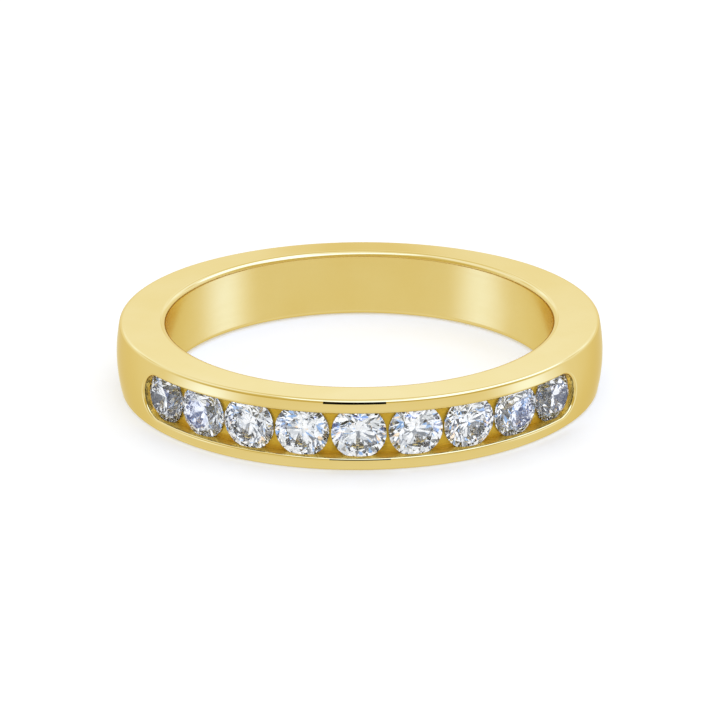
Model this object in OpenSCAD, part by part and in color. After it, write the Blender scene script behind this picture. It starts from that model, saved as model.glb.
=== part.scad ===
// Channel-set band ring. It lies on its side: the finger bore runs along Z, the origin is
// at the middle of the bore, and the row of round stones is at the front, towards -Y.
// All sizes are in millimetres.

/* [Band] */
// Diameter of the finger bore
bore_d = 17; // [16:0.1:21]
// Width of the band along the finger
band_w = 3.1; // [2.9:0.05:3.6]
// Wall thickness at the two sides, 0.3 more than at the front and 0.5 more than at the back
side_wall = 2.21; // [2.15:0.01:2.4]
// Rise of the slightly domed outer face between its edges
dome_rise = 0.18; // [0.1:0.01:0.3]
// Radius of the outer edges
outer_round = 0.15; // [0.1:0.01:0.3]
// Radius of the softer edges of the bore
bore_round = 0.25; // [0.1:0.01:0.35]

/* [Channel] */
// Width of the channel between its two rails
channel_w = 1.96; // [1.9:0.01:2.1]
// Depth of the channel's floor below the outer face
channel_depth = 0.63; // [0.6:0.01:0.7]
// Radius of the channel's rim
channel_round = 0.1; // [0.08:0.01:0.16]
// Angle by which the channel's ends stand off beyond the outer stones
end_room = 0.4; // [0:0.2:0.8]

/* [Stones] */
// Diameter of a stone at its girdle
stone_d = 2.28; // [2.2:0.01:2.29]
// Angle from one stone to the next, round the centre of the front arc
stone_pitch = 13.2; // [13.1:0.1:13.5]
// Depth of the middle of the girdle below the outer face
girdle_depth = 0.56; // [0.54:0.01:0.6]
// Width of the table as a share of the diameter
table_share = 0.575; // [0.53:0.005:0.6]
// Slope of the kite facets above the girdle
crown_angle = 34.5; // [32:0.5:36]
// Slope of the main facets below the girdle
pavilion_angle = 40.8; // [40:0.1:42]
// Thickness of the girdle where the main facets meet it
girdle_t = 0.09; // [0.07:0.01:0.12]
// Clearance between a stone and its seat
seat_gap = 0.03; // [0.02:0.005:0.035]

/* [Hidden] */
$fn = 96;
gold = [0.9, 0.76, 0.42];
clear_stone = [0.93, 0.95, 0.98];
stone_count = 9;

bore_r = bore_d / 2;
half_w = band_w / 2;
// How far a cutting shape runs past the metal.
past = 1;
// How far the outer body reaches in past the bore before the bore is cut.
inside = 0.5;
body_t = side_wall + inside;

// The outer plan is an oval of four arcs that meet in tangent points. The centres of the
// side arcs lie on the X axis, those of the front and back arcs on the Y axis. Their
// offsets are the sides of 8:15:17 and 3:4:5 triangles, so that all radii are round.
side_off = 0.75;
front_off = 0.4;
back_off = 1;
side_r = bore_r + side_wall - side_off;
front_r = side_r + norm([side_off, front_off]);
back_r = side_r + norm([side_off, back_off]);
// Points on the lines through two centres, where two arcs meet, at this many offsets out.
seam_reach = 40;
front_seam = [side_off * (1 + seam_reach), -front_off * seam_reach];
back_seam = [side_off * (1 + seam_reach), back_off * seam_reach];

// In cross-section the outer face is one flat arc, with a small round at either end.
dome_r = (half_w * half_w + dome_rise * dome_rise) / (2 * dome_rise);
// The wedge that holds the dome starts at this share of the way out from its centre.
dome_fan = 0.9;
outer_round_h = half_w - outer_round;
outer_round_in = round_depth(outer_round_h, outer_round);
// The rounds of the channel's rim stand this much proud of the face, and so cross it cleanly.
rim_proud = 0.003;
channel_round_h = channel_w / 2 + channel_round;
channel_round_in = round_depth(channel_round_h, channel_round) - rim_proud;

// Angles from the middle of the row to an outer stone, and to the centre of a round end.
row_half = stone_pitch * (stone_count - 1) / 2;
channel_turn = row_half + end_room;

// Heights in a stone are measured outwards from the middle of its girdle. The stars reach
// star_share of the way from the table's corners to the girdle, and the lower halves stop
// short of the culet by lower_share of the radius.
star_share = 0.42;
lower_share = 0.24;
stone_r = stone_d / 2;
table_r = stone_r * table_share;
star_r = table_r + star_share * (stone_r - table_r);
lower_r = stone_r * lower_share;
half_facet = 22.5;
arc_steps = 4;
girdle_sides = 16 * arc_steps;
table_h = crown_height(table_r);
star_h = crown_height(star_r * cos(half_facet));
lower_h = -pavilion_depth(lower_r * cos(half_facet));
culet_h = -pavilion_depth(0);
// Slopes of the ridges between the half facets, which stand proud of all the rest.
upper_ridge = (star_h - girdle_t / 2) / (stone_r - star_r);
lower_ridge = (-lower_h - girdle_t / 2) / (stone_r - lower_r);
// Each stone is turned this much further about its own axis than the one before it.
stone_turn = 17;

// Depth below the crest of the dome of the centre of a round of radius r that touches the
// dome from the inside, at distance h from the middle plane.
function round_depth(h, r) = dome_r - sqrt((dome_r - r) * (dome_r - r) - h * h);

// Height of a kite facet's plane at distance r out along its middle line.
function crown_height(r) = girdle_t / 2 + (stone_r - r) * tan(crown_angle);

// Depth of a main pavilion facet's plane at distance r out along its middle line.
function pavilion_depth(r) = girdle_t / 2 + (stone_r - r) * tan(pavilion_angle);

// How far one step of the girdle lies outside the chord across a half facet, as a negative
// distance in along a ridge.
function scallop(step) =
    let (from_middle = half_facet * ((step % arc_steps) / arc_steps - 0.5))
    stone_r * (1 - cos(from_middle) / cos(half_facet / 2));

function ring_point(r, angle, h) = [r * cos(angle), r * sin(angle), h];

// Cross-section of the outer body, which reaches in past the bore. X is 0 at the crest of
// the outer face.
module section() {
    translate([-body_t, -half_w])
        square([body_t - outer_round_in, band_w]);
    for (side = [-1, 1])
        translate([-outer_round_in, side * outer_round_h])
            circle(outer_round);
    intersection() {
        translate([-dome_r, 0])
            circle(dome_r);
        fan(outer_round_h, outer_round_in, dome_fan);
    }
}

// The part of a wedge from the dome's centre through two rounds at distance h from its
// middle line, that runs from a share of the way to those rounds out past the face.
module fan(h, depth, start) {
    reach = dome_r - depth;
    end = 1 + past / reach;
    polygon([for (p = [[start, -1], [end, -1], [end, 1], [start, 1]])
        [reach * p[0] - dome_r, h * p[0] * p[1]]]);
}

// One stretch of the outer body: a full turn about its arc's centre, of which the wedge
// between two seams is kept.
module arc_body(centre, r, seam_a, seam_b) {
    intersection() {
        translate(centre)
            rotate_extrude()
                translate([r, 0])
                    section();
        linear_extrude(band_w + 2 * past, center = true)
            polygon([centre, seam_a, seam_b]);
    }
}

module side_body() {
    arc_body([side_off, 0], side_r, front_seam, back_seam);
}

function mirrored(p) = [-p[0], p[1]];

module outer_body() {
    arc_body([0, front_off], front_r, front_seam, mirrored(front_seam));
    side_body();
    mirror([1, 0, 0])
        side_body();
    arc_body([0, -back_off], back_r, back_seam, mirrored(back_seam));
}

// The finger hole, with the rounds of both its edges.
module bore() {
    cylinder(r = bore_r, h = band_w + 2 * past, center = true);
    bore_edge();
    mirror([0, 0, 1])
        bore_edge();
}

// What the round of the bore's lower edge takes away.
module bore_edge() {
    rotate_extrude()
        difference() {
            translate([bore_r - bore_round, -half_w - past])
                square([2 * bore_round, past + bore_round]);
            translate([bore_r + bore_round, bore_round - half_w])
                circle(bore_round);
        }
}

// Cross-section of the channel about its middle line. X is 0 at the crest of the outer face.
module channel_section() {
    translate([-channel_depth, -channel_w / 2])
        square([channel_depth + past, channel_w]);
    difference() {
        fan(channel_round_h, channel_round_in, 1);
        for (side = [-1, 1])
            translate([-channel_round_in, side * channel_round_h])
                circle(channel_round);
    }
}

// The channel's round end at -X: half a turn of its cross-section about a radial line.
module channel_end() {
    rotate([90, 0, 0])
        rotate([0, 0, 90])
            rotate_extrude(angle = 180)
                translate([0, front_r])
                    intersection() {
                        rotate(90)
                            channel_section();
                        translate([0, -band_w])
                            square(2 * band_w);
                    }
}

// The half of the channel at -X. It is swept past the middle and cut off there.
module channel_half() {
    intersection() {
        on_row(-channel_turn) {
            channel_end();
            rotate([0, 0, -90])
                rotate_extrude(angle = channel_turn + stone_pitch)
                    translate([front_r, 0])
                        channel_section();
        }
        translate([-bore_d, -bore_d, -half_w])
            cube([bore_d, bore_d, band_w]);
    }
}

module channel() {
    channel_half();
    mirror([1, 0, 0])
        channel_half();
}

// Puts its children on the radial line at an angle from the middle of the row.
module on_row(angle) {
    translate([0, front_off, 0])
        rotate([0, 0, angle])
            children();
}

// Puts its children where stone i sits, with +Z of the stone pointing outwards.
module at_stone(i) {
    on_row(stone_pitch * (i - 1) - row_half)
        translate([0, girdle_depth - front_r, 0])
            rotate([90, 0, 0])
                children();
}

// The seat of one stone: the double cone of its ridges, larger all round by the clearance.
module seat() {
    above = girdle_t / 2 + seat_gap * norm([1, upper_ridge]);
    below = girdle_t / 2 + seat_gap * norm([1, lower_ridge]);
    rotate_extrude()
        polygon([
            [0, -below - stone_r * lower_ridge],
            [stone_r + seat_gap, seat_gap * lower_ridge - below],
            [stone_r + seat_gap, above - seat_gap * upper_ridge],
            [0, above + stone_r * upper_ridge]
        ]);
}

module band() {
    color(gold)
        difference() {
            outer_body();
            bore();
            channel();
            for (i = [1:stone_count])
                at_stone(i) seat();
        }
}

// A round brilliant: table, 8 stars, 8 kites and 16 halves above a scalloped girdle, and
// 16 halves and 8 mains below it. The points run from the table down to the culet.
module brilliant() {
    upper = 16;
    lower = upper + girdle_sides;
    waist = lower + girdle_sides;
    culet = waist + 8;
    corners = [0:7];
    steps = [0:girdle_sides - 1];
    points = concat(
        [for (k = corners) ring_point(table_r, 2 * half_facet * k, table_h)],
        [for (k = corners) ring_point(star_r, half_facet * (2 * k + 1), star_h)],
        [for (j = steps) ring_point(stone_r, 360 * j / girdle_sides,
            girdle_t / 2 + upper_ridge * scallop(j))],
        [for (j = steps) ring_point(stone_r, 360 * j / girdle_sides,
            -girdle_t / 2 - lower_ridge * scallop(j))],
        [for (k = corners) ring_point(lower_r, half_facet * (2 * k + 1), lower_h)],
        [[0, 0, culet_h]]
    );
    faces = concat(
        [[for (k = [7:-1:0]) k]],
        [for (k = corners) [k, (k + 1) % 8, 8 + k]],
        [for (k = corners) [k, 8 + k, upper + 2 * arc_steps * k, 8 + (k + 7) % 8]],
        [for (k = [0:15]) concat(8 + floor(k / 2),
            [for (j = [arc_steps:-1:0]) upper + (arc_steps * k + j) % girdle_sides])],
        [for (j = steps) let (n = (j + 1) % girdle_sides)
            [upper + j, upper + n, lower + n, lower + j]],
        [for (k = [0:15]) concat(waist + floor(k / 2),
            [for (j = [0:arc_steps]) lower + (arc_steps * k + j) % girdle_sides])],
        [for (k = corners) [culet, waist + (k + 7) % 8, lower + 2 * arc_steps * k, waist + k]]
    );
    polyhedron(points, faces);
}

module stone(i) {
    color(clear_stone)
        at_stone(i)
            rotate([0, 0, stone_turn * i])
                brilliant();
}

band();
stone(1);  // stone_1
stone(2);  // stone_2
stone(3);  // stone_3
stone(4);  // stone_4
stone(5);  // stone_5
stone(6);  // stone_6
stone(7);  // stone_7
stone(8);  // stone_8
stone(9);  // stone_9
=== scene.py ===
import math

import bmesh
import bpy
from mathutils import Matrix, Vector


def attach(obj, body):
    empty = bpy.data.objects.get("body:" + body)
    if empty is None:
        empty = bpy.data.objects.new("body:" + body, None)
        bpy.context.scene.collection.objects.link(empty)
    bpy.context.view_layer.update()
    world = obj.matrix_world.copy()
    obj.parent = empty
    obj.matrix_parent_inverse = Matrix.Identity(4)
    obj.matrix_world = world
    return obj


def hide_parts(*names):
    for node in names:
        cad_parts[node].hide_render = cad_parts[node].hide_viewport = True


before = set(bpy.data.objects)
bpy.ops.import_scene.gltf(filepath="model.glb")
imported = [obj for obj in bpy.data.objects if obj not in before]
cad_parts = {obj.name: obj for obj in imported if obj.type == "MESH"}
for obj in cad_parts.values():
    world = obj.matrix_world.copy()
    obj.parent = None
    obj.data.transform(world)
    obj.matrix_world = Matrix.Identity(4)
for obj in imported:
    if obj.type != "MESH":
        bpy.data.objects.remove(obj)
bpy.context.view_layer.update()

scene = bpy.context.scene
mm = 0.001
origin = (0, 0, 0)
up = (0, 0, 1)
white = (1, 1, 1, 1)
print("frame loaded:", len(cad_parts), "nodes")


# Fitted to the outlines in the photo. Angles in degrees, lengths in millimetres.
cameraSetup = {
    "elevation": 20.753,
    "turn": 0.302,              # the middle stone stands a little to the left
    "roll": -0.34,
    "distance": 129.99,
    "sensor": 36,
    "lens": 147.03,
    "shiftX": 0.00051,
    "shiftY": -0.01751,
    "clip": (5, 20000),
}


def makeCamera(setup):
    camera = bpy.data.objects.new("photoCamera", bpy.data.cameras.new("photoCamera"))
    scene.collection.objects.link(camera)
    scene.camera = camera
    elevation = math.radians(setup["elevation"])
    turn = math.radians(setup["turn"])
    back = Vector((
        math.sin(turn) * math.cos(elevation),
        -math.cos(turn) * math.cos(elevation),
        math.sin(elevation),
    ))
    facing = (-back).to_track_quat("-Z", "Y")
    roll = Matrix.Rotation(math.radians(setup["roll"]), 4, "Z")
    camera.matrix_world = (
        Matrix.Translation(back * setup["distance"] * mm) @ facing.to_matrix().to_4x4() @ roll
    )
    camera.data.sensor_width = setup["sensor"]
    camera.data.lens = setup["lens"]
    camera.data.shift_x = setup["shiftX"]
    camera.data.shift_y = setup["shiftY"]
    camera.data.clip_start, camera.data.clip_end = (length * mm for length in setup["clip"])


makeCamera(cameraSetup)
print("camera set")


def linkObject(name, mesh):
    piece = bpy.data.objects.new(name, mesh)
    scene.collection.objects.link(piece)
    return piece


def meshFrom(bm, name):
    mesh = bpy.data.meshes.new(name)
    bm.to_mesh(mesh)
    bm.free()
    return mesh


def addChain(bm, points):
    verts = [bm.verts.new(p) for p in points]
    return verts + [bm.edges.new(pair) for pair in zip(verts, verts[1:])]


def spinChain(bm, chain, centre, axis, angle, steps, merge=False):
    return bmesh.ops.spin(
        bm, geom=chain, cent=centre, axis=axis, dvec=(0, 0, 0),
        angle=math.radians(angle), steps=steps, use_merge=merge, use_duplicate=False,
    )["geom_last"]


# All in millimetres and degrees. The plan is an oval of four arcs, as in the solid.
bandSizes = {
    "boreRadius": 8.5,
    "halfWidth": 1.55,
    "boreRound": 0.25,
    "frontCentre": 0.4, "frontRadius": 10.81,
    "sideCentre": 0.75,
    "backCentre": -1.0,
    "domeRise": 0.18,
    "outerRound": 0.15,
    "channelHalf": 0.98, "channelDepth": 0.63, "channelRound": 0.1,
    "rowHalf": 53.2,            # from the middle stone to the centre of the channel's round end
    "endWall": 3,               # the end's wall begins this far beyond that centre
    "recessStart": 0.15, "recessFull": 0.24, "recessEnd": 1.8,    # depths of the brushed finish and of the painted shade in the channel
    "frontSteps": 56, "sideSteps": 40, "backSteps": 20,
    "cornerSteps": 9, "roundSteps": 6,
    "floorRows": [0, 0.35, 0.7, 0.93],                        # middle plane to the channel's wall
    "faceRows": [0, 0.04, 0.15, 0.35, 0.6, 0.85, 0.96, 1],    # channel rim to outer round
    "sideRows": [0, 0.18, 0.36, 0.54, 0.72, 0.88, 0.98, 1],   # middle plane to outer round
    "boreRows": [0, 0.5, 0.98],                               # middle plane to the bore's round
    "holdingRow": 0.03,         # keeps a flat face flat beside a round
    "weld": 1e-4, "sliver": 1e-5,    # nearer points are merged, shorter edges dissolved
    "cutWeld": 2e-5,                 # for both, once the seats are cut
    "sharpAngle": 30,
}

# The stones' own sizes, from which their seats are cut.
seatSizes = {
    "count": 9, "pitch": 13.2, "girdleDepth": 0.56,
    "stoneRadius": 1.14, "tableShare": 0.575, "starShare": 0.42, "lowerShare": 0.24,
    "crownAngle": 34.5, "pavilionAngle": 40.8, "girdle": 0.09,
    "ridgeTurn": 22.5,          # a ridge stands half way between two of the eight main facets
    "gap": 0.03, "steps": 64, "weld": 1e-5,
}


def domeDepth(s, z):
    # how far the domed face lies below its crest at a height z
    r = s["domeRadius"]
    return r - math.sqrt(r * r - z * z)


def roundCentre(s, height, radius):
    # depth of the centre of a round that touches the dome from inside
    reach = s["domeRadius"] - radius
    return s["domeRadius"] - math.sqrt(reach * reach - height * height)


def arcPoints(depth, height, radius, start, stop, steps):
    # (depth, z) round a centre, by the angle above the outward direction
    turns = [math.radians(start + (stop - start) * i / steps) for i in range(steps + 1)]
    return [(depth - radius * math.cos(t), height + radius * math.sin(t)) for t in turns]


def withProfiles(sizes):
    # adds what follows from the sizes, and the cross-sections as (depth below the crest, z)
    s = dict(sizes)
    s["domeRadius"] = (s["halfWidth"] ** 2 + s["domeRise"] ** 2) / (2 * s["domeRise"])
    steps = s["roundSteps"]
    outerHeight = s["halfWidth"] - s["outerRound"]
    outerStart = math.degrees(math.asin(outerHeight / (s["domeRadius"] - s["outerRound"])))
    outer = arcPoints(roundCentre(s, outerHeight, s["outerRound"]), outerHeight,
                      s["outerRound"], outerStart, 90, steps)
    s["rimHeight"] = s["channelHalf"] + s["channelRound"]
    s["rimDepth"] = roundCentre(s, s["rimHeight"], s["channelRound"])
    rimStart = math.degrees(math.asin(s["rimHeight"] / (s["domeRadius"] - s["channelRound"])))
    rim = arcPoints(s["rimDepth"], s["rimHeight"], s["channelRound"], -90, rimStart, steps)
    s["rimZ"], s["faceZ"] = rim[-1][1], outer[0][1]
    floor = [(s["channelDepth"], s["channelHalf"] * row) for row in s["floorRows"]]
    wall = [(s["channelDepth"], s["channelHalf"]), (rim[0][0] + s["holdingRow"], s["channelHalf"])]
    s["channelProfile"] = floor + wall + rim
    faceZs = [s["rimZ"] + (s["faceZ"] - s["rimZ"]) * row for row in s["faceRows"]]
    s["faceProfile"] = [(domeDepth(s, z), z) for z in faceZs[1:-1]]
    sideZs = [s["faceZ"] * row for row in s["sideRows"]]
    s["sideProfile"] = [(domeDepth(s, z), z) for z in sideZs[:-1]]
    s["outerProfile"] = outer + [(outer[-1][0] + s["holdingRow"], s["halfWidth"])]
    return s


def frontPoint(s, angle, depth, z):
    # angle from the middle of the row, in radians
    r = s["frontRadius"] - depth
    return Vector((r * math.sin(angle), s["frontCentre"] - r * math.cos(angle), z))


def addChannelEnd(bm, s):
    # the channel's section turned a quarter about its radial line, its rim lifted to the face
    row = math.radians(s["rowHalf"])
    axis = Vector((math.sin(row), -math.cos(row), 0))
    centre = Vector((0, s["frontCentre"], 0))
    along = Vector((math.cos(row), math.sin(row), 0))
    chain = addChain(bm, [frontPoint(s, row, d, z) for d, z in s["channelProfile"]])
    before = set(bm.verts) - set(chain)
    spinChain(bm, chain, centre, axis, -90, s["cornerSteps"] + len(s["sideRows"]) - 1)
    rimTop = s["frontRadius"] - domeDepth(s, s["rimZ"])
    rimFoot = s["frontRadius"] - s["rimDepth"]
    for v in set(bm.verts) - before:
        offset = v.co - centre
        share = (offset.dot(axis) - rimFoot) / (rimTop - rimFoot)
        if share > 0:
            turn = math.atan2(offset.dot(along), v.co.z)
            out, z = s["rimZ"] * math.sin(turn), s["rimZ"] * math.cos(turn)
            face = math.sqrt((s["frontRadius"] - domeDepth(s, z)) ** 2 - out ** 2)
            v.co += axis * (face - rimTop) * share


def addEndFace(bm, s):
    # the domed face round the channel's end, from its rim out to the seam with the side:
    # a unit grid, of which each point is moved to its place on the face
    row = math.radians(s["rowHalf"])
    seam = math.atan2(s["sideCentre"], s["frontCentre"]) - row
    steps = s["cornerSteps"] + len(s["sideRows"]) - 1
    rows = s["faceRows"]
    grid = bmesh.ops.create_grid(bm, x_segments=steps, y_segments=len(rows) - 1, size=0.5)["verts"]
    for v in grid:
        i = round((v.co.x + 0.5) * steps)
        share = rows[round((v.co.y + 0.5) * (len(rows) - 1))]
        turn = math.radians(90 * i / steps)
        out, rimZ = s["rimZ"] * math.sin(turn), s["rimZ"] * math.cos(turn)
        rimAngle = math.asin(out / (s["frontRadius"] - domeDepth(s, rimZ)))
        if i <= s["cornerSteps"]:
            borderAngle, borderZ = seam * i / s["cornerSteps"], s["faceZ"]
        else:
            borderAngle, borderZ = seam, s["faceZ"] * s["sideRows"][steps - i]
        angle = rimAngle + (borderAngle - rimAngle) * share
        z = rimZ + (borderZ - rimZ) * share
        v.co = frontPoint(s, row + angle, domeDepth(s, z), z)


def addOutside(bm, s):
    # the channel and the outer face, from the middle stone round to the middle of the back
    row = math.radians(s["rowHalf"])
    frontAxis = (0, s["frontCentre"], 0)
    seam = math.degrees(math.atan2(s["sideCentre"], s["frontCentre"]))
    backSeam = math.degrees(math.atan2(s["sideCentre"], -s["backCentre"]))

    whole = s["channelProfile"] + s["faceProfile"] + s["outerProfile"]
    chain = addChain(bm, [frontPoint(s, 0, d, z) for d, z in whole])
    spinChain(bm, chain, frontAxis, up, s["rowHalf"], s["frontSteps"])
    chain = addChain(bm, [frontPoint(s, row, d, z) for d, z in s["outerProfile"]])
    spinChain(bm, chain, frontAxis, up, seam - s["rowHalf"], s["cornerSteps"])
    addChannelEnd(bm, s)
    addEndFace(bm, s)

    side = s["sideProfile"] + s["outerProfile"]
    chain = addChain(bm, [frontPoint(s, math.radians(seam), d, z) for d, z in side])
    last = spinChain(bm, chain, (s["sideCentre"], 0, 0), up, 180 - seam - backSeam, s["sideSteps"])
    spinChain(bm, last, (0, s["backCentre"], 0), up, backSeam, s["backSteps"])


def addBore(bm, s):
    # the finger hole, with the softer round at its edge
    edge = s["boreRadius"] + s["boreRound"]
    edgeZ = s["halfWidth"] - s["boreRound"]
    bore = [(s["boreRadius"], edgeZ * row) for row in s["boreRows"]]
    for i in range(s["roundSteps"] + 1):
        turn = math.radians(90 * i / s["roundSteps"])
        bore.append((edge - s["boreRound"] * math.cos(turn), edgeZ + s["boreRound"] * math.sin(turn)))
    bore.append((edge + s["holdingRow"], s["halfWidth"]))
    chain = addChain(bm, [(0, -r, z) for r, z in bore])
    steps = s["frontSteps"] + s["cornerSteps"] + s["sideSteps"] + s["backSteps"]
    spinChain(bm, chain, origin, up, 180, steps)


def addTopFace(bm, s):
    # joins the two open rows on the upper side face
    bmesh.ops.remove_doubles(bm, verts=bm.verts, dist=s["weld"])
    edges = [
        e for e in bm.edges
        if e.is_boundary and all(abs(v.co.z - s["halfWidth"]) < s["weld"] for v in e.verts)
        and any(abs(v.co.x) > s["weld"] for v in e.verts)
    ]
    bmesh.ops.bridge_loops(bm, edges=edges)


def makeBandShell(s):
    # a quarter of the band, mirrored down and to the left
    bm = bmesh.new()
    addOutside(bm, s)
    addBore(bm, s)
    addTopFace(bm, s)
    for axis in "ZX":
        bmesh.ops.mirror(bm, geom=bm.verts[:] + bm.edges[:] + bm.faces[:],
                         matrix=Matrix.Identity(4), merge_dist=s["weld"], axis=axis)
    bmesh.ops.remove_doubles(bm, verts=bm.verts, dist=s["weld"])
    bmesh.ops.dissolve_degenerate(bm, edges=bm.edges, dist=s["sliver"])
    bmesh.ops.recalc_face_normals(bm, faces=bm.faces)
    return bm


def seatProfile(seats):
    # (radius, height) of a double cone that follows the ridges between a stone's half facets
    radius, half, gap = seats["stoneRadius"], seats["girdle"] / 2, seats["gap"]
    table = radius * seats["tableShare"]
    star = table + seats["starShare"] * (radius - table)
    lower = radius * seats["lowerShare"]
    squeeze = math.cos(math.radians(seats["ridgeTurn"]))
    crown, pavilion = (math.tan(math.radians(seats[name])) for name in ("crownAngle", "pavilionAngle"))
    upSlope = (radius - star * squeeze) * crown / (radius - star)
    downSlope = (radius - lower * squeeze) * pavilion / (radius - lower)
    above = half + gap * math.hypot(1, upSlope)
    below = half + gap * math.hypot(1, downSlope)
    return [
        (0, -below - radius * downSlope),
        (radius + gap, gap * downSlope - below),
        (radius + gap, above - gap * upSlope),
        (0, above + radius * upSlope),
    ]


def makeSeatCutter(s, seats):
    profile = seatProfile(seats)
    bm = bmesh.new()
    for i in range(seats["count"]):
        angle = seats["pitch"] * (i - (seats["count"] - 1) / 2)
        one = bmesh.new()
        chain = addChain(one, [(r, 0, h) for r, h in profile])
        spinChain(one, chain, origin, up, 360, seats["steps"], merge=True)
        bmesh.ops.remove_doubles(one, verts=one.verts, dist=seats["weld"])
        bmesh.ops.recalc_face_normals(one, faces=one.faces)
        place = (
            Matrix.Translation((0, s["frontCentre"], 0))
            @ Matrix.Rotation(math.radians(angle), 4, "Z")
            @ Matrix.Translation((0, seats["girdleDepth"] - s["frontRadius"], 0))
            @ Matrix.Rotation(math.radians(90), 4, "X")
        )
        bmesh.ops.transform(one, matrix=place, verts=one.verts)
        part = meshFrom(one, "seat")
        bm.from_mesh(part)
        bpy.data.meshes.remove(part)
    return bm


def cutSeats(band, cutter):
    # the band's mesh with the cutter taken out of it
    cut = band.modifiers.new("seats", "BOOLEAN")
    cut.operation = "DIFFERENCE"
    cut.solver = "EXACT"
    cut.object = cutter
    bpy.context.view_layer.update()
    done = bpy.data.meshes.new_from_object(band.evaluated_get(bpy.context.evaluated_depsgraph_get()))
    band.modifiers.clear()
    return done


def clamp(share):
    return min(max(share, 0), 1)


def markFinishAndPaintedLight(mesh, s):
    # for the material: 1 inside the channel (brushed finish and painted shade), 1 or -1 at its right or
    # left end (painted light, and the cut marks on the left), and 1 in the bore
    recess, ends, bore = (
        mesh.attributes.new(name, "FLOAT", "POINT") for name in ("recess", "ends", "bore")
    )
    for v in mesh.vertices:
        rise = (math.hypot(v.co.x, v.co.y) - s["boreRadius"]) / s["boreRound"]
        bore.data[v.index].value = clamp(1 - 2 * rise)      # ends half way across the round
        depth = s["frontRadius"] - math.hypot(v.co.x, v.co.y - s["frontCentre"])
        inside = v.co.y < 0 and abs(v.co.z) < s["rimHeight"] and depth < s["recessEnd"]
        share = (depth - s["recessStart"]) / (s["recessFull"] - s["recessStart"])
        recess.data[v.index].value = clamp(share) if inside else 0
        along = math.degrees(math.atan2(v.co.x, s["frontCentre"] - v.co.y))
        beyond = inside and abs(along) > s["rowHalf"] + s["endWall"]
        ends.data[v.index].value = math.copysign(1, along) if beyond else 0


def makeBand(sizes, seats, material):
    s = withProfiles(sizes)
    shell = meshFrom(makeBandShell(s), "goldShell")
    cutterMesh = meshFrom(makeSeatCutter(s, seats), "seatCutter")
    band = linkObject("goldBand", shell)
    cutter = linkObject("seatCutter", cutterMesh)
    mesh = cutSeats(band, cutter)
    band.data = mesh
    mesh.name = "goldBand"
    bpy.data.objects.remove(cutter)
    for spare in (shell, cutterMesh):
        bpy.data.meshes.remove(spare)
    bm = bmesh.new()
    bm.from_mesh(mesh)
    bmesh.ops.remove_doubles(bm, verts=bm.verts, dist=s["cutWeld"])
    bmesh.ops.dissolve_degenerate(bm, edges=bm.edges, dist=s["cutWeld"])
    bmesh.ops.recalc_face_normals(bm, faces=bm.faces)
    bm.to_mesh(mesh)
    bm.free()
    markFinishAndPaintedLight(mesh, s)
    mesh.transform(Matrix.Scale(mm, 4))
    mesh.shade_smooth()
    mesh.set_sharp_from_angle(angle=math.radians(s["sharpAngle"]))
    mesh.materials.clear()
    mesh.materials.append(material)
    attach(band, "root")
    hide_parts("band")
    return band


def newMaterial(name):
    material = bpy.data.materials.new(name)
    material.use_nodes = True
    material.node_tree.nodes.clear()
    return material, material.node_tree


def addNode(tree, kind, inputs, **settings):
    # an input is a number, a colour or another node's output
    node = tree.nodes.new(kind)
    for name, setting in settings.items():
        setattr(node, name, setting)
    for key, value in inputs.items():
        if isinstance(value, bpy.types.NodeSocket):
            tree.links.new(value, node.inputs[key])
        else:
            node.inputs[key].default_value = value
    return node


def addSurface(tree, kind, inputs):
    shader = addNode(tree, kind, inputs)
    addNode(tree, "ShaderNodeOutputMaterial", {"Surface": shader.outputs[0]})


def mathNode(tree, operation, first, second=0.0, third=0.0):
    inputs = {0: first, 1: second, 2: third}
    return addNode(tree, "ShaderNodeMath", inputs, operation=operation).outputs[0]


def rangeNode(tree, value, fromLow, fromHigh, toLow, toHigh, kind="LINEAR"):
    inputs = {
        "Value": value, "From Min": fromLow, "From Max": fromHigh, "To Min": toLow, "To Max": toHigh,
    }
    return addNode(tree, "ShaderNodeMapRange", inputs, interpolation_type=kind).outputs[0]


def rampNode(tree, value, stops, kind="LINEAR"):
    node = addNode(tree, "ShaderNodeValToRGB", {"Fac": value})
    ramp = node.color_ramp
    ramp.interpolation = kind
    while len(ramp.elements) < len(stops):
        ramp.elements.new(0.5)
    for element, (place, colour) in zip(ramp.elements, stops):
        element.position = place
        element.color = (*colour, 1)
    return node.outputs[0]


def noiseNode(tree, scale, stretch=(1, 1, 1), detail=2.0):
    # the scale is in waves per millimetre
    coords = addNode(tree, "ShaderNodeTexCoord", {})
    mapping = addNode(tree, "ShaderNodeMapping", {
        "Vector": coords.outputs["Object"], "Scale": [scale * part / mm for part in stretch],
    })
    return addNode(tree, "ShaderNodeTexNoise", {
        "Vector": mapping.outputs[0], "Scale": 1.0, "Detail": detail,
    }).outputs["Fac"]


def attributeNode(tree, name):
    return addNode(tree, "ShaderNodeAttribute", {}, attribute_name=name).outputs["Fac"]


def mixColours(tree, share, first, second):
    # of the node's sockets, inputs 6 and 7 and output 2 are the colours
    return addNode(tree, "ShaderNodeMix", {0: share, 6: first, 7: second}, data_type="RGBA").outputs[2]


def bumpNode(tree, height, distance, strength=1.0):
    inputs = {"Height": height, "Distance": distance, "Strength": strength}
    return addNode(tree, "ShaderNodeBump", inputs).outputs[0]


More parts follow.
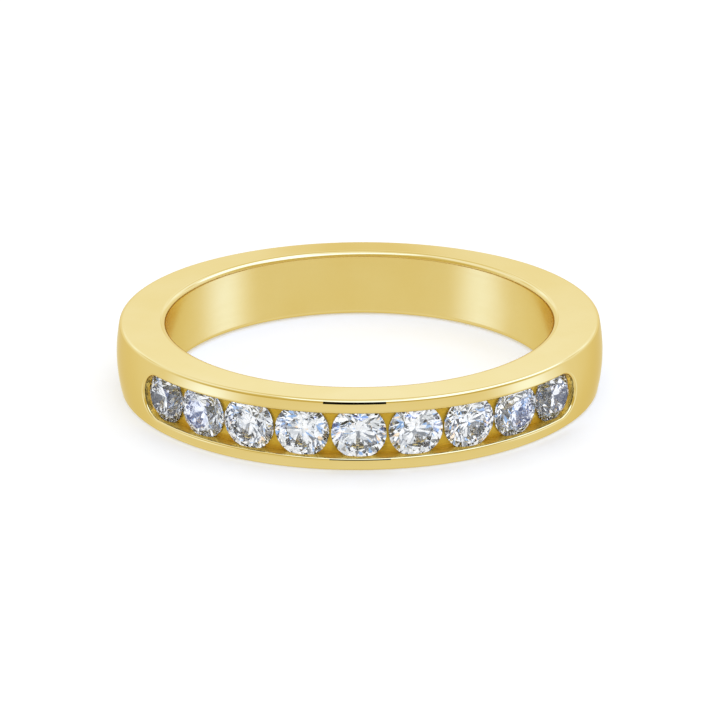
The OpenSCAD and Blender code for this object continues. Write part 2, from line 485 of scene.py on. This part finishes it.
goldLook = {
    "colour": (0.712, 0.535, 0.165, 1),
    "paler": (0.725, 0.556, 0.187, 1),
    "brushedPaintedShade": (0.56, 0.34, 0.02, 1),           # the channel's brushed finish, its darker colour painted shade
    "brushedPaintedShadePaler": (0.7, 0.46, 0.06, 1),
    "deepMetallic": 0.35,
    # painted light: the channel's end walls lighter and more orange, as if lit
    "endWall": (1.0, 0.64, 0.09, 1),
    "marked": (0.1, 0.05, 0.0, 1),           # the cut marks at the channel's left end
    "markScale": 5.0, "markFrom": (0.56, 0.62),
    "specular": 0.1,                         # of the part of the channel that isn't mirror-like
    "throughStonePaintedShade": (0.24, 0.26, 0.3, 1),      # painted shade: the seat as a stone shows it, grey in place of gold
    "edgeTint": (0.935, 0.835, 0.59, 1),
    "ontoFloor": (0.74, 0.66, 0.43, 1),      # what the pale floor gets back from the gold
    "cloudScale": 0.35, "cloudDetail": 3.0, "cloudSpread": (0.35, 0.65),
    "polish": (0.035, 0.075),                # roughness, lowest and highest
    "brushed": (0.16, 0.3),
    "satin": 0.15,                           # added inside the finger hole
    "lineScale": 9.0, "lineStretch": (0.05, 0.05, 1), "lineDetail": 4.0, "lineSpread": (0.3, 0.7),
    "lineHeight": 0.0006, "lineDepth": 0.004,    # of the fine lines on the face and in the channel
    "waveScale": 0.45, "waveDetail": 1.0, "waveHeight": 0.003,
}


def makeGold(look):
    material, tree = newMaterial("polishedGold")
    recess, ends, bore = (attributeNode(tree, name) for name in ("recess", "ends", "bore"))
    path = addNode(tree, "ShaderNodeLightPath", {}).outputs
    clouds = noiseNode(tree, look["cloudScale"], detail=look["cloudDetail"])
    lines = noiseNode(tree, look["lineScale"], look["lineStretch"], look["lineDetail"])
    waves = noiseNode(tree, look["waveScale"], detail=look["waveDetail"])

    # polished faces
    spread = rangeNode(tree, clouds, *look["cloudSpread"], 0, 1)
    bright = mixColours(tree, spread, look["colour"], look["paler"])
    bright = mixColours(tree, path["Is Diffuse Ray"], bright, look["ontoFloor"])

    # channel with its brushed lines and painted shade, its end walls with painted light, and the marks on
    # the left one
    dark = mixColours(tree, lines, look["brushedPaintedShade"], look["brushedPaintedShadePaler"])
    dark = mixColours(tree, mathNode(tree, "ABSOLUTE", ends), dark, look["endWall"])
    leftEnd = mathNode(tree, "MULTIPLY", ends, -1.0)
    marks = rangeNode(tree, noiseNode(tree, look["markScale"]), *look["markFrom"], 0, leftEnd)
    dark = mixColours(tree, marks, dark, look["marked"])
    # painted shade: the channel grey where a stone looks onto it
    dark = mixColours(tree, path["Is Transmission Ray"], dark, look["throughStonePaintedShade"])

    # roughness of both
    polish = rangeNode(tree, lines, *look["lineSpread"], *look["polish"])
    polish = mathNode(tree, "MULTIPLY_ADD", bore, look["satin"], polish)
    brushed = rangeNode(tree, lines, *look["lineSpread"], *look["brushed"])

    # fine lines and slow waves
    lineHeight = rangeNode(tree, recess, 0, 1, look["lineHeight"] * mm, look["lineDepth"] * mm)
    height = mathNode(tree, "MULTIPLY", lines, lineHeight)
    height = mathNode(tree, "MULTIPLY_ADD", waves, look["waveHeight"] * mm, height)

    addSurface(tree, "ShaderNodeBsdfPrincipled", {
        "Metallic": rangeNode(tree, recess, 0, 1, 1, look["deepMetallic"]),
        "Base Color": mixColours(tree, recess, bright, dark),
        "Specular IOR Level": look["specular"],
        "Specular Tint": look["edgeTint"],
        "Roughness": rangeNode(tree, recess, 0, 1, polish, brushed),
        "Normal": bumpNode(tree, height, 1.0),      # the height is already in metres
    })
    return material


stoneLook = {
    "ior": 2.417,
    "mirrorTint": (0.35, 0.36, 0.38, 1),     # a stone mirrors the gold's light, so less of it
    "colour": (1, 1, 1, 1),
    "cooler": (0.93, 0.965, 1, 1),
    "cloudScale": 0.8,
    "roughness": (0.0, 0.02),
    "lineScale": 14.0, "lineStretch": (1, 0.1, 0.3), "lineSpread": (0.45, 0.8), "lineHeight": 0.00004,
}


def makeStone(look):
    material, tree = newMaterial("clearStone")
    clouds = noiseNode(tree, look["cloudScale"])
    lines = noiseNode(tree, look["lineScale"], look["lineStretch"])
    inside = addNode(tree, "ShaderNodeNewGeometry", {}).outputs["Backfacing"]
    addSurface(tree, "ShaderNodeBsdfPrincipled", {
        "Transmission Weight": 1.0,
        "Specular Tint": mixColours(tree, inside, look["mirrorTint"], white),
        "IOR": look["ior"],
        "Base Color": mixColours(tree, clouds, look["colour"], look["cooler"]),
        "Roughness": rangeNode(tree, lines, *look["lineSpread"], *look["roughness"]),
        "Normal": bumpNode(tree, lines, look["lineHeight"] * mm),
    })
    return material


band = makeBand(bandSizes, seatSizes, makeGold(goldLook))
print("band made:", len(band.data.polygons), "faces")

clearStone = makeStone(stoneLook)
for name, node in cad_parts.items():
    if name.startswith("stone"):
        for materialSlot in node.material_slots:
            materialSlot.material = clearStone
print("stones dressed")


floorLook = {
    "size": 3000,
    "colour": (0.86, 0.86, 0.86, 1), "paler": (0.88, 0.88, 0.88, 1),
    "grainScale": 0.6, "grainDetail": 4.0, "grainHeight": 0.004, "grainStrength": 0.2,
}


def makeFloor(look):
    bm = bmesh.new()
    bmesh.ops.create_grid(bm, x_segments=1, y_segments=1, size=look["size"] * mm / 2)
    bmesh.ops.translate(bm, vec=(0, 0, -bandSizes["halfWidth"] * mm), verts=bm.verts)
    floor = linkObject("paleFloor", meshFrom(bm, "paleFloor"))
    material, tree = newMaterial("palePaper")
    grain = noiseNode(tree, look["grainScale"], detail=look["grainDetail"])
    addSurface(tree, "ShaderNodeBsdfDiffuse", {
        "Color": mixColours(tree, grain, look["colour"], look["paler"]),
        "Normal": bumpNode(tree, grain, look["grainHeight"] * mm, look["grainStrength"]),
    })
    floor.data.materials.append(material)
    floor.visible_glossy = False     # polished metal mirrors the tent's lower half instead


# Narrow black cards close in front of two edges draw the thin dark lines along them. They stay
# low and close, because to a viewer behind the ring the flat upper face mirrors what is in front.
# Lengths in millimetres: left and right across the ring, bottom and top above its middle plane.
cardLook = {
    "gap": 0.12, "left": -1.52, "right": 1.17, "bottom": 1.395, "top": 1.74, "steps": 12,
    "colour": (0.004, 0.004, 0.004, 1), "paler": (0.01, 0.01, 0.01, 1), "grainScale": 2.0,
}
lowerCardLook = {**cardLook, "gap": 0.1, "left": -1.25, "right": 1.35, "bottom": -1.08, "top": -0.83}


def makeCard(name, look):
    s = bandSizes
    left, right = (math.asin(look[side] / s["frontRadius"]) for side in ("left", "right"))
    bm = bmesh.new()
    chain = addChain(bm, [frontPoint(s, left, -look["gap"], z) for z in (look["bottom"], look["top"])])
    spinChain(bm, chain, (0, s["frontCentre"], 0), up, math.degrees(right - left), look["steps"])
    bmesh.ops.scale(bm, vec=(mm, mm, mm), verts=bm.verts)
    card = linkObject(name, meshFrom(bm, name))
    material, tree = newMaterial(name)
    grain = noiseNode(tree, look["grainScale"])
    addSurface(tree, "ShaderNodeBsdfDiffuse", {
        "Color": mixColours(tree, grain, look["colour"], look["paler"]),
    })
    card.data.materials.append(material)
    card.visible_camera = False
    card.visible_diffuse = False
    card.visible_shadow = False


# Light tent. Elevations and azimuths in degrees, azimuth 0 in front and 90 on the right.
# A level is the blue share of what polished gold shows, and the tints turn it into light.
# Front and behind hold (elevation, level), tints (level, light) and tones (place, light). A pair
# of angles is where a soft edge begins and ends.
tentLook = {
    "front": [(-90, 0.46), (-50, 0.5), (-38, 0.48), (-25, 0.435), (-15, 0.475), (-5, 0.51), (1, 0.49),
              (6, 0.42), (10, 0.26), (24, 0.27), (42, 0.36), (60, 0.44), (90, 0.44)],
    "behind": [(-90, 0.46), (-50, 0.5), (-38, 0.48), (-25, 0.48), (-15, 0.5), (-5, 0.51), (6, 0.54),
               (17, 0.57), (19.4, 0.61), (22.4, 0.72), (25, 0.64), (31, 0.46), (60, 0.44), (90, 0.44)],
    "turning": (62, 118),                                     # from the front's levels to those behind
    "lobeShift": -5, "lobeAzimuth": 85,
    "leanHeight": (-20, 0), "lobeLean": -10,                  # less wide apart at the horizon
    "lobeInner": (-26, -2), "lobeOuter": (0, 29), "lobeRise": 0.275,
    "lobeLow": (-34, -24), "lobeHigh": (-6, 12),
    "backAzimuth": (110, 175), "backHeight": (5, -10), "backDrop": 0.135,
    "wingInner": (135, 150), "wingOuter": (166, 174), "wingLow": (23, 29), "wingHigh": (38, 46),
    "wingRise": 0.26,
    "dimAzimuth": 180.25, "dimHeight": 19.2, "dimWidth": (0.6, 2.5), "dimDrop": 0.12,
    "patches": [
        {"azimuth": 116, "elevation": 54, "width": (17, 27), "level": 0.98},
        {"azimuth": -116, "elevation": 54, "width": (17, 27), "level": 0.68},
        {"azimuth": 40, "elevation": 72, "width": (30, 37), "level": 0.98},
        {"azimuth": 0, "elevation": 90, "width": (12, 18), "level": 0.62},
    ],
    "tints": [(0.1, (0.4, 0.28, 0.07)), (0.196, (0.67, 0.525, 0.187)), (0.298, (0.83, 0.737, 0.42)),
              (0.384, (0.92, 0.9, 0.73)), (0.451, (1, 1, 1)), (0.518, (1.09, 1.13, 1.35)),
              (0.616, (1.19, 1.33, 2.0)), (0.698, (1.275, 1.48, 2.57)), (0.812, (1.4, 1.79, 3.65)),
              (0.92, (1.6, 2.2, 5.2))],
    "rampGain": 6.0,                                          # keeps the ramp's colours under 1
}
stoneTentLook = {
    "scale": 1.9,
    "tones": [(0.0, (0.01, 0.01, 0.015)), (0.26, (0.02, 0.03, 0.04)), (0.36, (0.24, 0.26, 0.29)),
              (0.5, (0.55, 0.58, 0.64)), (0.6, (0.86, 0.89, 0.92)), (0.84, (1.58, 1.61, 1.64))],
    "fleckScale": 7.0, "fleckFrom": 0.88,                     # small coloured flashes
    "fleckTones": [(0.0, (0.3, 0.52, 0.9)), (0.965, (1.1, 0.82, 0.55))],
}
floorTentLook = {
    "tones": [(0.5, (0.74, 0.74, 0.76)), (0.75, (0.9, 0.92, 0.935)), (1.0, (1.74, 1.74, 1.75))],
}


def angleFrom(tree, toward, azimuth, elevation):
    # degrees between a ray and one direction
    azimuth, elevation = math.radians(azimuth), math.radians(elevation)
    spot = (
        math.sin(azimuth) * math.cos(elevation), -math.cos(azimuth) * math.cos(elevation),
        math.sin(elevation),
    )
    dot = addNode(tree, "ShaderNodeVectorMath", {0: toward, 1: spot}, operation="DOT_PRODUCT")
    return mathNode(tree, "DEGREES", mathNode(tree, "ARCCOSINE", dot.outputs["Value"]))


def softEdges(tree, *edges):
    # the product of soft edges, each one (value, (from, to), start, stop)
    product = 1.0
    for value, limits, start, stop in edges:
        edge = rangeNode(tree, value, *limits, start, stop, kind="SMOOTHSTEP")
        product = mathNode(tree, "MULTIPLY", product, edge)
    return product


def cellNode(tree, toward, scale):
    # one random number for each patch of directions
    cells = addNode(tree, "ShaderNodeTexVoronoi", {"Vector": toward, "Scale": scale})
    return addNode(tree, "ShaderNodeSeparateXYZ", {0: cells.outputs["Color"]}).outputs[0]


def goldLevel(tree, look, toward):
    # how bright the tent is for the gold, direction by direction
    x, y, z = addNode(tree, "ShaderNodeSeparateXYZ", {0: toward}).outputs
    azimuth = mathNode(tree, "DEGREES", mathNode(tree, "ARCTAN2", x, mathNode(tree, "MULTIPLY", y, -1.0)))
    elevation = mathNode(tree, "DEGREES", mathNode(tree, "ARCSINE", z))
    around = mathNode(tree, "ABSOLUTE", azimuth)

    place = rangeNode(tree, elevation, -90, 90, 0, 1)
    front, behind = (
        rampNode(tree, place, [((height + 90) / 180, [level] * 3) for height, level in look[side]])
        for side in ("front", "behind")
    )
    level = mixColours(tree, softEdges(tree, (around, look["turning"], 0, 1)), front, behind)

    # a bright lobe low on either side
    shifted = mathNode(tree, "ABSOLUTE", mathNode(tree, "ADD", azimuth, look["lobeShift"]))
    crest = rangeNode(tree, elevation, *look["leanHeight"],
                      look["lobeAzimuth"], look["lobeAzimuth"] + look["lobeLean"])
    apart = mathNode(tree, "SUBTRACT", shifted, crest)
    lobe = softEdges(
        tree, (apart, look["lobeInner"], 0, look["lobeRise"]), (apart, look["lobeOuter"], 1, 0),
        (elevation, look["lobeLow"], 0, 1), (elevation, look["lobeHigh"], 1, 0),
    )
    level = mathNode(tree, "ADD", level, lobe)

    # darker low down behind
    back = softEdges(
        tree, (around, look["backAzimuth"], 0, look["backDrop"]), (elevation, look["backHeight"], 0, 1),
    )
    level = mathNode(tree, "SUBTRACT", level, back)

    # two bright wings half way up behind
    wing = softEdges(
        tree, (around, look["wingInner"], 0, look["wingRise"]), (around, look["wingOuter"], 1, 0),
        (elevation, look["wingLow"], 0, 1), (elevation, look["wingHigh"], 1, 0),
    )
    level = mathNode(tree, "ADD", level, wing)

    # a small dim spot between and below them
    apart = angleFrom(tree, toward, look["dimAzimuth"], look["dimHeight"])
    dim = softEdges(tree, (apart, look["dimWidth"], look["dimDrop"], 0))
    level = mathNode(tree, "SUBTRACT", level, dim)

    # bright round patches high up, and a golden one overhead for the upper face seen from above
    for patch in look["patches"]:
        apart = angleFrom(tree, toward, patch["azimuth"], patch["elevation"])
        share = softEdges(tree, (apart, patch["width"], 1, 0))
        level = mixColours(tree, share, level, [patch["level"]] * 3 + [1])
    return level


def addSide(tree, colour, strength=1.0):
    return addNode(tree, "ShaderNodeBackground", {"Color": colour, "Strength": strength}).outputs[0]


def makeTent(goldTent, stoneTent, floorTent):
    world = bpy.data.worlds.new("lightTent")
    scene.world = world
    world.use_nodes = True
    world.cycles.sampling_method = "NONE"     # each kind of ray meets its own side of the tent
    tree = world.node_tree
    tree.nodes.clear()
    toward = addNode(tree, "ShaderNodeTexCoord", {}).outputs["Generated"]

    gain = goldTent["rampGain"]
    tints = [(at, [part / gain for part in tint]) for at, tint in goldTent["tints"]]
    goldSide = addSide(tree, rampNode(tree, goldLevel(tree, goldTent, toward), tints), gain)

    cell, fleck = (cellNode(tree, toward, stoneTent[name]) for name in ("scale", "fleckScale"))
    flecked = mathNode(tree, "GREATER_THAN", fleck, stoneTent["fleckFrom"])
    tones = rampNode(tree, cell, stoneTent["tones"])
    flashes = rampNode(tree, fleck, stoneTent["fleckTones"], "CONSTANT")
    stoneSide = addSide(tree, mixColours(tree, flecked, tones, flashes))

    z = addNode(tree, "ShaderNodeSeparateXYZ", {0: toward}).outputs[2]
    floorSide = addSide(tree, rampNode(tree, rangeNode(tree, z, -1, 1, 0, 1), floorTent["tones"]))
    backdrop = addSide(tree, white)

    path = addNode(tree, "ShaderNodeLightPath", {}).outputs
    light = goldSide
    for kind, side in (("Is Transmission Ray", stoneSide), ("Is Diffuse Ray", floorSide),
                       ("Is Camera Ray", backdrop)):
        light = addNode(tree, "ShaderNodeMixShader", {0: path[kind], 1: light, 2: side}).outputs[0]
    addNode(tree, "ShaderNodeOutputWorld", {"Surface": light})


lightBounces = 24     # light turns many times inside a stone

makeFloor(floorLook)
makeCard("blackCard", cardLook)
makeCard("lowerBlackCard", lowerCardLook)
makeTent(tentLook, stoneTentLook, floorTentLook)
scene.view_settings.view_transform = "Standard"
scene.cycles.max_bounces = lightBounces
scene.cycles.glossy_bounces = lightBounces
scene.cycles.transmission_bounces = lightBounces
scene.cycles.blur_glossy = 0
print("floor and light made")
